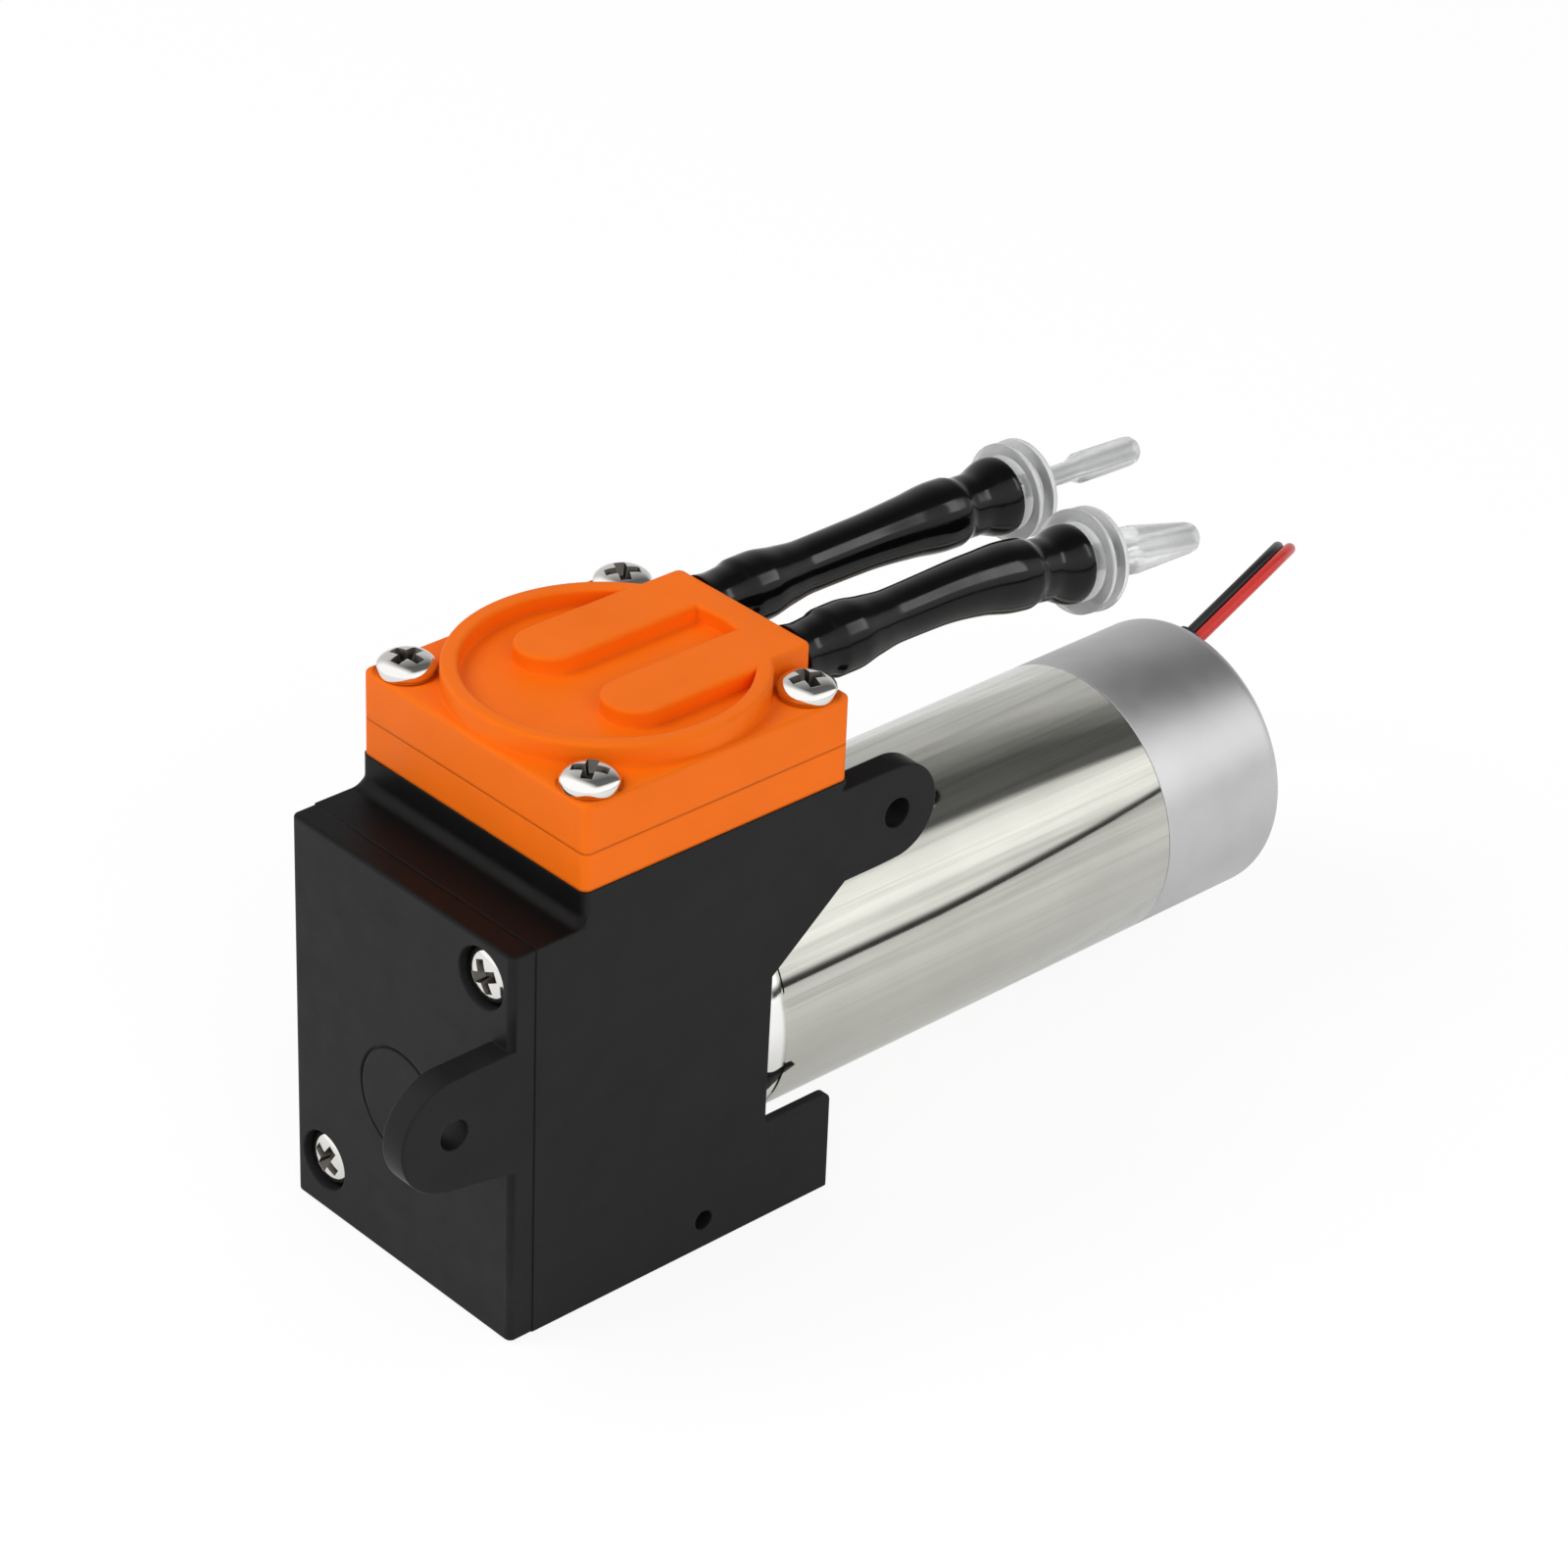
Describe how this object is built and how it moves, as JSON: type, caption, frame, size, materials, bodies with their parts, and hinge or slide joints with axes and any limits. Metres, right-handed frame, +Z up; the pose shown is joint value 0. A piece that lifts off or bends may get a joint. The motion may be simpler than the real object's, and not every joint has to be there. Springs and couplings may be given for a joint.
{
  "type": "diaphragm vacuum pump",
  "caption": "Diaphragm vacuum pump with an orange twin-port head on a black housing, a long cylindrical motor, two black hoses with clear adapters and a coiled lead.",
  "frame": {"origin": "middle of the housing base, straight below the centre of the head", "axes": "+X towards the side with the two mounting ears, +Y along the motor, away from the front cover, +Z up"},
  "size_m": [0.059, 0.1364, 0.0554],
  "materials": {
    "housing_plastic": "satin black moulding",
    "orange_plastic": "satin orange moulding",
    "screw_steel": "plated screws",
    "black_rubber": "smooth black rubber",
    "clear_plastic": "clear moulding",
    "valve_rubber": "moulded rubber",
    "tube_steel": "polished plated tube",
    "cap_metal": "satin turned cap",
    "bearing_steel": "ground steel",
    "bronze": "sintered bronze",
    "rod_plastic": "natural moulding",
    "hub_brass": "turned brass",
    "core_steel": "laminated steel",
    "copper": "enamelled copper",
    "magnet": "sintered magnet",
    "insulator": "moulded insulator",
    "carbon": "carbon",
    "lead_jacket": "red and black jacket"
  },
  "bodies": {
    "frame": {"pump_housing": "housing_plastic", "front_cover": "housing_plastic", "cover_screws": "screw_steel", "head_screws": "screw_steel", "valve_plate": "orange_plastic", "head_cover": "orange_plastic", "valve_seals": "valve_rubber", "diaphragm": "valve_rubber", "front_bearing_outer_race": "bearing_steel", "motor_tube": "tube_steel", "motor_screws": "screw_steel", "front_bush": "bronze", "rear_bush": "bronze", "magnets": "magnet", "brush_plate": "insulator", "brush_arms": "hub_brass", "brushes": "carbon", "motor_cap": "cap_metal", "lead_gland": "black_rubber", "lead_run": "lead_jacket", "lead_coil": "lead_jacket", "left_hose": "black_rubber", "right_hose": "black_rubber", "left_adapter": "clear_plastic", "right_adapter": "clear_plastic"},
    "rotor": {"shaft": "bearing_steel", "crank_hub": "hub_brass", "hub_screw": "screw_steel", "front_bearing_inner_race": "bearing_steel", "rod_bearing_inner_race": "bearing_steel", "armature_core": "core_steel", "windings": "copper", "commutator_sleeve": "insulator", "commutator": "copper"},
    "rod": {"connecting_rod": "rod_plastic", "rod_bearing_outer_race": "bearing_steel", "clamp_plate": "cap_metal", "clamp_screw": "screw_steel"},
    "rod_cage": {"rod_bearing_balls": "bearing_steel", "rod_bearing_cage": "hub_brass"},
    "front_cage": {"front_bearing_balls": "bearing_steel", "front_bearing_cage": "hub_brass"},
    "inlet_disc": {"inlet_valve": "valve_rubber"},
    "outlet_disc": {"outlet_valve": "valve_rubber"}
  },
  "joints": [
    {"name": "shaft_spin", "type": "hinge", "parent": "frame", "child": "rotor", "pos_m": [0, 0, 0.0174], "axis": [0, 1, 0], "continuous": true, "deforming": ["diaphragm"]},
    {"name": "crank_pin", "type": "hinge", "parent": "rotor", "child": "rod", "pos_m": [0, 0, 0.0186], "axis": [0, 1, 0], "continuous": true},
    {"name": "rod_bearing_roll", "type": "hinge", "parent": "rod", "child": "rod_cage", "pos_m": [0, 0, 0.0186], "axis": [0, 1, 0], "continuous": true},
    {"name": "front_bearing_roll", "type": "hinge", "parent": "frame", "child": "front_cage", "pos_m": [0, 0, 0.0174], "axis": [0, 1, 0], "continuous": true},
    {"name": "inlet_lift", "type": "slide", "parent": "frame", "child": "inlet_disc", "axis": [0, 0, -1], "range_m": [0, 0.00045]},
    {"name": "outlet_lift", "type": "slide", "parent": "frame", "child": "outlet_disc", "axis": [0, 0, 1], "range_m": [0, 0.00045]}
  ],
  "couplings": [
    {"joint": "crank_pin", "follows": "shaft_spin", "ratio": -1},
    {"joint": "rod_bearing_roll", "follows": "shaft_spin", "ratio": 0.4167},
    {"joint": "front_bearing_roll", "follows": "shaft_spin", "ratio": 0.3864}
  ]
}
